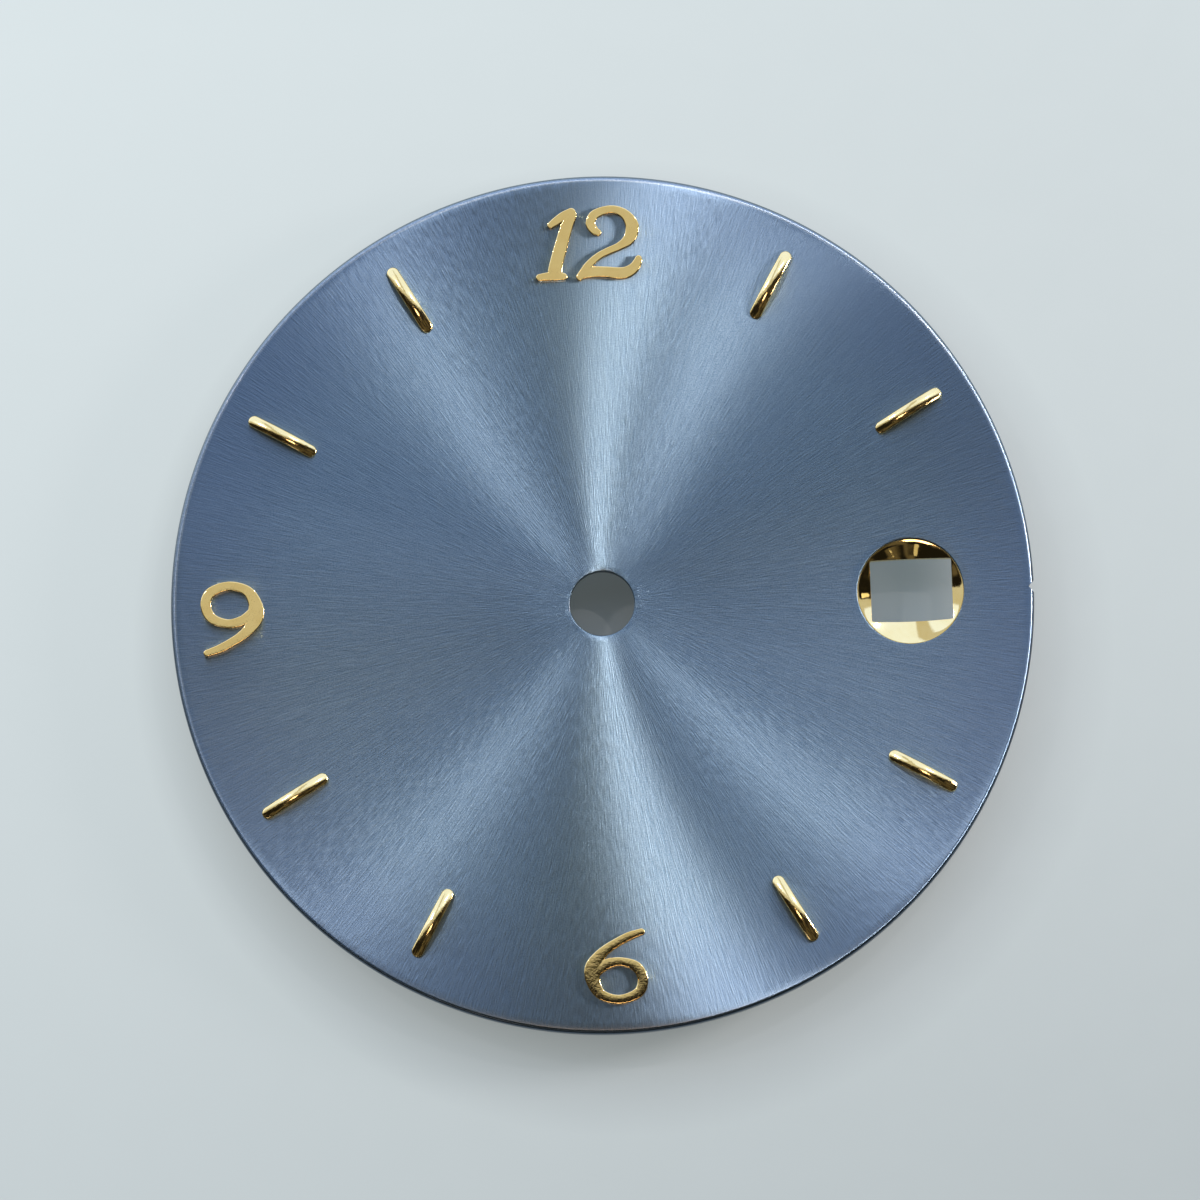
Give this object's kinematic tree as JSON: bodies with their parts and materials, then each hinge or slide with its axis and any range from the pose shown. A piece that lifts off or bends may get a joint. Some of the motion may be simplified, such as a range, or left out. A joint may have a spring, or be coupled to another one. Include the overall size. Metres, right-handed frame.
{
  "type": "watch dial",
  "caption": "Round blue sunray watch dial with applied gilt numerals and batons, a centre hole, a framed date window and two feet.",
  "frame": {"origin": "on the axis of the centre hole, on the plate's back face", "axes": "+Z out of the face, +Y to 12 o'clock, +X to 3 o'clock"},
  "size_m": [0.029, 0.029, 0.0026],
  "materials": {
    "sunray_blue": "brass disc, radially brushed, slate blue under a clear lacquer",
    "gilt_polish": "gold plated, mirror polished",
    "gilt_satin": "gold plated, soft polish on the flat tops",
    "copper": "bare copper, drawn",
    "solder": "tin solder, smooth and slightly dull",
    "lacquer": "amber dial lacquer, set"
  },
  "bodies": {
    "root": {"date_window_frame": "gilt_polish", "dial_foot_1": "copper", "dial_foot_2": "copper", "dial_plate": "sunray_blue", "foot_solder_1": "solder", "foot_solder_2": "solder", "index_01": "gilt_polish", "index_02": "gilt_polish", "index_04": "gilt_polish", "index_05": "gilt_polish", "index_07": "gilt_polish", "index_08": "gilt_polish", "index_10": "gilt_polish", "index_11": "gilt_polish", "lacquer_beads_batons": "lacquer", "lacquer_beads_numerals": "lacquer", "numeral_12_one": "gilt_satin", "numeral_12_two": "gilt_satin", "numeral_6": "gilt_satin", "numeral_9": "gilt_satin"}
  },
  "joints": []
}
